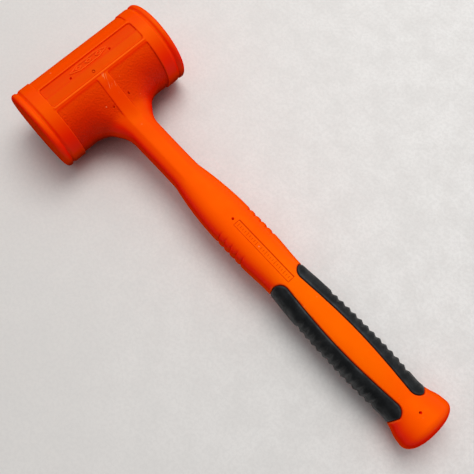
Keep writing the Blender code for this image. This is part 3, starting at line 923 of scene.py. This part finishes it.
def edge_sharpness(mesh):
    """0.5 on even surfaces, towards 1 on outer edges and towards 0 in grooves."""
    points = vertex_array(mesh)
    pairs = np.zeros(len(mesh.edges) * 2, np.int32)
    mesh.edges.foreach_get("vertices", pairs)
    pairs = pairs.reshape(-1, 2)
    normals = np.zeros(len(mesh.vertices) * 3, np.float32)
    mesh.vertex_normals.foreach_get("vector", normals)
    normals = normals.reshape(-1, 3)
    along = points[pairs[:, 1]] - points[pairs[:, 0]]
    along /= np.maximum(np.linalg.norm(along, axis=1), 1e-9)[:, None]
    total = np.zeros(len(points))
    count = np.zeros(len(points))
    for a, sign in ((0, 1), (1, -1)):
        lift = -(along * normals[pairs[:, a]]).sum(axis=1) * sign
        total += np.bincount(pairs[:, a], lift, len(points))
        count += np.bincount(pairs[:, a], minlength=len(points))
    bend = total / np.maximum(count, 1)
    for _ in range(2):
        gathered = np.bincount(pairs[:, 0], bend[pairs[:, 1]], len(points))
        gathered += np.bincount(pairs[:, 1], bend[pairs[:, 0]], len(points))
        bend = (bend + gathered / np.maximum(count, 1)) / 2
    return np.clip(0.5 + bend * EDGE_GAIN, 0, 1)


# ---------------------------------------------------------------- pieces

def pin_cutter():
    """Holes with a soft lip that reach the steel, from above and from below."""
    shape = bmesh.new()
    for x, y, wide in PINS:
        top = surface_height(x, y)
        for side in (1, -1):
            rings = ((PIN_FLOOR, 0.0), (PIN_FLOOR, wide), (top - PIN_LIP_DEPTH, wide),
                     (top, wide + PIN_LIP_WIDTH),
                     (top + PIN_CLEARANCE, wide + PIN_CLEARANCE_WIDTH), (top + PIN_CLEARANCE, 0.0))
            rows = []
            for height, radius in rings:
                sides = PIN_SIDES if radius else 1
                angles = [2 * math.pi * i / PIN_SIDES for i in range(sides)]
                rows.append([shape.verts.new((x + radius * math.cos(a), y + radius * math.sin(a),
                                              side * height)) for a in angles])
            join_rings(shape, rows, PIN_SIDES)
    return add_object("pin_cutter", mesh_from(shape, "pin_cutter", True))


def raised_lines(name, paths, line):
    """Closed or open tubes that follow the urethane's upper surface.

    A path is a list of (x, y) and whether it closes on itself. The line is the tube's radius and
    how far its centre line lies below the surface.
    """
    radius, sink = line
    curve = bpy.data.curves.new(name, "CURVE")
    curve.dimensions = "3D"
    curve.bevel_depth = radius
    curve.bevel_resolution = 1
    curve.use_fill_caps = True
    for points, closed in paths:
        spline = curve.splines.new("POLY")
        spline.points.add(len(points) - 1)
        for point, (x, y) in zip(spline.points, points):
            point.co = (x, y, surface_height(x, y) - sink, 1)
        spline.use_cyclic_u = closed
    made = add_object(name, curve)
    view = bpy.context.evaluated_depsgraph_get()
    shape = bmesh.new()
    shape.from_mesh(bpy.data.meshes.new_from_object(made.evaluated_get(view)))
    bpy.data.objects.remove(made)
    bmesh.ops.remove_doubles(shape, verts=shape.verts, dist=0.000001)
    return add_object(name, mesh_from(shape, name, True))


def densify(corners, spacing):
    """Closed path through the corners, with points about a spacing apart."""
    points = []
    for (x0, y0), (x1, y1) in zip(corners, corners[1:] + corners[:1]):
        count = max(1, round(math.hypot(x1 - x0, y1 - y0) / spacing))
        points += [(x0 + (x1 - x0) * i / count, y0 + (y1 - y0) * i / count) for i in range(count)]
    return points


def panel_mark():
    """Plain raised mark: a long hexagon that holds three lozenges."""
    x, half_width, half_length = MARK_X, MARK_HALF_WIDTH, MARK_HALF_LENGTH
    hexagon = [(x, -half_length), (x - half_width, 3 * half_width - half_length),
               (x - half_width, half_length - 3 * half_width), (x, half_length),
               (x + half_width, half_length - 3 * half_width),
               (x + half_width, 3 * half_width - half_length)]
    paths = [(densify(hexagon, MARK_SPACING), True)]
    for y in (-LOZENGE_PITCH, 0.0, LOZENGE_PITCH):
        lozenge = [(x - LOZENGE_HALF_WIDTH, y), (x, y - LOZENGE_HALF_LENGTH),
                   (x + LOZENGE_HALF_WIDTH, y), (x, y + LOZENGE_HALF_LENGTH)]
        paths.append((densify(lozenge, LOZENGE_SPACING), True))
    return raised_lines("panel_mark", paths, MARK_LINE)


def panel_ring():
    """Small ring pressed into the panel by the ridge."""
    ring = [(RING_X + RING_RADIUS * math.cos(math.radians(30 * i)),
             RING_Y + RING_RADIUS * math.sin(math.radians(30 * i))) for i in range(12)]
    return raised_lines("panel_ring", [(ring, True)], RING_LINE)


def label_groove():
    """Thin groove round a plain label field."""
    corners = [(LABEL_START_X, -LABEL_HALF_WIDTH), (LABEL_END_X, -LABEL_HALF_WIDTH),
               (LABEL_END_X, LABEL_HALF_WIDTH), (LABEL_START_X, LABEL_HALF_WIDTH)]
    path = densify(corners, LABEL_SPACING)
    return raised_lines("label_groove", [(path, True)], LABEL_FRAME_LINE)


def label_strokes():
    """Row of short shallow strokes inside the label field."""
    paths = []
    for i in range(LABEL_STROKES):
        x = LABEL_START_X + (LABEL_END_X - LABEL_START_X) * (i + 1) / (LABEL_STROKES + 1)
        half = SHORT_STROKE if i % LONG_STROKE_EVERY else LONG_STROKE
        paths.append(([(x, -half), (x, 0.0), (x, half)], False))
    return raised_lines("label_strokes", paths, LABEL_STROKE_LINE)


def label_line():
    """Deeper groove along one long side of the label field."""
    ends = [(LABEL_START_X, LABEL_HALF_WIDTH), (LABEL_END_X, LABEL_HALF_WIDTH)]
    count = round((LABEL_END_X - LABEL_START_X) / LABEL_SPACING)
    path = densify(ends, LABEL_SPACING)[:count + 1]
    return raised_lines("label_line", [(path, False)], LABEL_SIDE_LINE)


def make_overmould(material):
    """The urethane's skin: its form, less the room for the steel, with its holes and marks."""
    xs = grid_lines(-FACE_RADIUS - 2 * STEP, BUTT_END_X + 2 * STEP, STEP, X_BANDS)
    ys = both_sides(grid_lines(0.0, HALF_HEAD + 2 * STEP, STEP, Y_BANDS))
    zs = both_sides(grid_lines(0.0, FACE_RADIUS + 2 * STEP, STEP))
    rooms = ((-1, HEAD_ROOM_END, 1, 1), (HEAD_ROOM_END, 1, HANDLE_ROOM_HALF_Y, HANDLE_ROOM_HALF_Z))
    mesh = surface_mesh("overmould_skin", overmould_gap, xs, ys, zs, rooms)
    made = add_object("overmould_skin", mesh, material)
    rod_room = [
        (ROD_ROOM_START_X, 0), (ROD_ROOM_START_X, ROD_FOOT_RADIUS + GAP),
        (ROD_FOOT_X + GAP, ROD_FOOT_RADIUS + GAP), (ROD_FOOT_X + ROD_FOOT_TAPER, ROD_RADIUS + GAP),
        (ROD_END_X + GAP, ROD_RADIUS + GAP), (ROD_END_X + GAP, 0)]
    bake(made, (("DIFFERENCE", canister_cutter("canister_room", CANISTER_HALF + GAP)),
                ("DIFFERENCE", turned_object("rod_room", rod_room, ROD_SIDES, "X")),
                ("DIFFERENCE", pin_cutter()),
                ("UNION", panel_mark()), ("DIFFERENCE", label_groove()),
                ("DIFFERENCE", label_strokes()), ("DIFFERENCE", label_line()),
                ("DIFFERENCE", panel_ring())))
    points = vertex_array(made.data)
    set_attribute(made.data, "grain", recess_mask(*points.T) * (points[:, 0] > 0))
    set_attribute(made.data, "panel", panel_mask(*points.T) * (points[:, 2] > PANEL_FROM_Z))
    set_attribute(made.data, "scuff", scuff_mask(*points.T))
    struck = blend_step(np.abs(points[:, 1]), HALF_HEAD - STRUCK_DEPTH, HALF_HEAD)
    set_attribute(made.data, "struck", struck)
    # The ridges' crests join the edge attribute, so they carry the painted highlight
    crest = ridge_mask(*points.T) ** 2 * (points[:, 0] > 0)
    set_attribute(made.data, "edge", np.maximum(edge_sharpness(made.data), crest))
    made.data.set_sharp_from_angle(angle=math.radians(50))
    to_bench(made)
    stand_for(made, "overmould", "mallet")


def make_grip(name, node, side, material):
    """One ribbed inlay; side is -1 or 1 along Y."""
    step = GRIP_STEP
    ribs = (RIB_FIRST_X - GRIP_RIB_LEAD, RIB_FIRST_X + RIB_PITCH * RIB_COUNT, GRIP_RIB_STEP)
    xs = grid_lines(GRIP_START_X - 2 * step, GRIP_END_X + 2 * step, step, (ribs,))
    ys = grid_lines(GRIP_LOW_Y, GRIP_HIGH_Y, step)
    zs = both_sides(grid_lines(0.0, GRIP_HIGH_Z, step))
    mesh = surface_mesh(name, grip_gap, xs, ys, zs, ((-1, 1, 1, 1),))
    if side < 0:
        mesh.transform(Matrix.Scale(-1, 4, (0, 1, 0)))
        mesh.flip_normals()
    made = add_object(name, mesh, material)
    set_attribute(mesh, "edge", edge_sharpness(mesh))
    mesh.set_sharp_from_angle(angle=math.radians(60))
    to_bench(made)
    stand_for(made, node, "mallet")


def finish_steel(made, node, body):
    """Shading of a steel piece, and the CAD node and body that it stands for."""
    made.data.shade_smooth()
    made.data.set_sharp_from_angle(angle=math.radians(35))
    stand_for(made, node, body)


def make_canister(material):
    """Drawn tube with rolled rings, and a stamped cap on a spigot at each end."""
    inner, outer, end, edge = TUBE_BORE, CANISTER_RADIUS, TUBE_HALF, TUBE_EDGE
    sunk = outer - ROLLED_RING_DEPTH
    rolled = []
    for y in (-ROLLED_RING_Y, ROLLED_RING_Y):
        rolled += [(y - ROLLED_RING_HALF_WIDTH, outer), (y - ROLLED_RING_FLOOR, sunk),
                   (y + ROLLED_RING_FLOOR, sunk), (y + ROLLED_RING_HALF_WIDTH, outer)]
    wall = [(-end, inner + edge), (-end, outer - edge), (-end + edge, outer)] + rolled
    wall += [(end - edge, outer), (end, outer - edge), (end, inner + edge), (end - edge, inner),
             (edge - end, inner)]
    seat, top = TUBE_HALF + GAP, CANISTER_HALF
    low, high = PRESSED_RING_INNER, PRESSED_RING_OUTER
    floor = top - PRESSED_RING_DEPTH
    middle_y, middle_radius = CAP_EDGE_MIDDLE
    cap = [(seat - SPIGOT_DEPTH, 0), (seat - SPIGOT_DEPTH, inner - GAP - SPIGOT_EDGE),
           (seat - SPIGOT_DEPTH + SPIGOT_EDGE, inner - GAP), (seat, inner - GAP),
           (seat, outer - CAP_LOW_EDGE), (seat + CAP_LOW_EDGE, outer), (top - CAP_HIGH_EDGE, outer),
           (top - middle_y, outer - middle_radius), (top, outer - CAP_HIGH_EDGE), (top, high),
           (floor, high - PRESSED_RING_SLOPE), (floor, low + PRESSED_RING_SLOPE), (top, low)]
    cap += [(top - drop, radius) for drop, radius in CAP_DIMPLE]
    for name, profile in (("canister_tube", wall), ("canister_cap_right", cap),
                          ("canister_cap_left", [(-y, radius) for y, radius in reversed(cap)])):
        piece = turned_object(name + "_fine", profile, CANISTER_SIDES, "Y", material)
        to_bench(piece)
        finish_steel(piece, name, "mallet")


def make_rod(material):
    """Bar with drawing rings, two necks that lock it in the handle, and a saddled foot."""
    radius, foot = ROD_RADIUS, ROD_FOOT_RADIUS
    profile = [(ROD_START_X, 0), (ROD_START_X, foot), (ROD_FOOT_X - ROD_FOOT_EDGE, foot),
               (ROD_FOOT_X, foot - ROD_FOOT_EDGE), (ROD_FOOT_X + ROD_FOOT_TAPER, radius)]
    for i in range(ROD_RING_COUNT):
        x = ROD_RING_FIRST_X + ROD_RING_PITCH * i
        profile += [(x - ROD_RING_HALF_WIDTH, radius), (x, radius - ROD_RING_DEPTH),
                    (x + ROD_RING_HALF_WIDTH, radius)]
    for x in ROD_NECKS_X:
        profile += [(x - ROD_NECK_HALF_WIDTH, radius), (x - ROD_NECK_FLOOR, ROD_NECK_RADIUS),
                    (x + ROD_NECK_FLOOR, ROD_NECK_RADIUS), (x + ROD_NECK_HALF_WIDTH, radius)]
    profile += [(ROD_END_X - ROD_END_EDGE, radius), (ROD_END_X, radius - ROD_END_EDGE), (ROD_END_X, 0)]
    rod = turned_object("core_rod_fine", profile, ROD_SIDES, "X", material)
    bake(rod, (("DIFFERENCE", canister_cutter("saddle_room", CANISTER_HALF)),))
    to_bench(rod)
    finish_steel(rod, "core_rod", "mallet")


def make_shot(material):
    """Cast steel balls, each a little out of round in its own way."""
    for node in sorted(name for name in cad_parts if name.startswith("shot_")):
        low, high = (Vector(corner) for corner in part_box(node))
        centre = (low + high) / 2
        radius = (high - low).z / 2
        shape = bmesh.new()
        bmesh.ops.create_icosphere(shape, subdivisions=4, radius=1.0)
        for vert in shape.verts:
            out = vert.co.normalized()
            dent = noise.noise(out * 2.5 + centre * 900) + 0.4 * noise.noise(out * 9 + centre * 700)
            vert.co = out * (radius - SHOT_UNDERSIZE + SHOT_DENT * dent)
        ball = add_object(node + "_fine", mesh_from(shape, node + "_fine"), material)
        ball.data.transform(Matrix.Translation(centre))
        finish_steel(ball, node, "shot_charge")


# ---------------------------------------------------------------- stage

CAMERA_PLACE = (0.10234, -0.08376, 0.43155)
CAMERA_AZIMUTH = math.radians(51.374)
CAMERA_ELEVATION = math.radians(72.57)
CAMERA_ROLL = math.radians(-4.137)
CAMERA_LENS = 49.05

KEY_PLACE = (-0.20, 0.36, 1.12)
KEY_SIZE = 0.8
KEY_POWER = 8.3
KEY_COLOUR = (1.0, 0.985, 0.96)
SKY_COLOUR = (0.98, 0.98, 1.0, 1)
SKY_LEVEL = (("From Min", 0.2), ("From Max", 1.0), ("To Min", 0.03), ("To Max", 0.94))
BACKDROP_COLOUR = (0.62, 0.61, 0.59, 1)
BENCH_HALF_SIZE = 3.0
BENCH_GAP = 0.0002


def add_camera():
    data = bpy.data.cameras.new("camera")
    data.lens = CAMERA_LENS
    data.sensor_width = 36.0
    data.clip_start = 0.01
    back = Vector((math.sin(CAMERA_AZIMUTH) * math.cos(CAMERA_ELEVATION),
                   -math.cos(CAMERA_AZIMUTH) * math.cos(CAMERA_ELEVATION),
                   math.sin(CAMERA_ELEVATION)))
    level = Vector((math.cos(CAMERA_AZIMUTH), math.sin(CAMERA_AZIMUTH), 0))
    turn = Matrix((level, back.cross(level), back)).transposed().to_4x4()
    camera = add_object("camera", data)
    camera.matrix_world = (Matrix.Translation(CAMERA_PLACE) @ turn
                           @ Matrix.Rotation(CAMERA_ROLL, 4, "Z"))
    bpy.context.scene.camera = camera


def add_key_light():
    """One large soft lamp, aimed at the origin."""
    data = bpy.data.lights.new("key", "AREA")
    data.shape = "DISK"
    data.size = KEY_SIZE
    data.energy = KEY_POWER
    data.color = KEY_COLOUR
    light = add_object("key", data)
    light.location = KEY_PLACE
    light.rotation_euler = (-Vector(KEY_PLACE)).to_track_quat("-Z", "Y").to_euler()


def make_bench():
    shape = bmesh.new()
    bmesh.ops.create_grid(shape, x_segments=8, y_segments=8, size=BENCH_HALF_SIZE)
    bench = add_object("bench", mesh_from(shape, "bench"), floor_material())
    bench.location.z = cad_box[0][2] - BENCH_GAP


def make_surround():
    """Sky that is brightest where the light comes from, behind a plain pale backdrop."""
    world = bpy.data.worlds.new("world")
    bpy.context.scene.world = world
    world.use_nodes = True
    tree = world.node_tree
    sky = tree.nodes["Background"]
    sky.inputs["Color"].default_value = SKY_COLOUR
    where = tree.nodes.new("ShaderNodeTexCoord")
    towards = tree.nodes.new("ShaderNodeVectorMath")
    towards.operation = "DOT_PRODUCT"
    towards.inputs[1].default_value = LIGHT_FROM
    level = tree.nodes.new("ShaderNodeMapRange")
    for name, value in SKY_LEVEL:
        level.inputs[name].default_value = value
    tree.links.new(where.outputs["Generated"], towards.inputs[0])
    tree.links.new(towards.outputs["Value"], level.inputs["Value"])
    tree.links.new(level.outputs[0], sky.inputs["Strength"])
    backdrop = tree.nodes.new("ShaderNodeBackground")
    backdrop.inputs["Color"].default_value = BACKDROP_COLOUR
    choice = tree.nodes.new("ShaderNodeMixShader")
    tree.links.new(tree.nodes.new("ShaderNodeLightPath").outputs["Is Camera Ray"], choice.inputs[0])
    tree.links.new(sky.outputs[0], choice.inputs[1])
    tree.links.new(backdrop.outputs[0], choice.inputs[2])
    tree.links.new(choice.outputs[0], tree.nodes["World Output"].inputs["Surface"])


urethane = urethane_material()
rubber = rubber_material()
steel = steel_material()
make_overmould(urethane)
make_grip("grip_inlay_left", "grip_left", -1, rubber)
make_grip("grip_inlay_right", "grip_right", 1, rubber)
make_canister(steel)
make_rod(steel)
make_shot(steel)
make_bench()
add_key_light()
make_surround()
add_camera()
bpy.context.scene.view_settings.view_transform = "Standard"
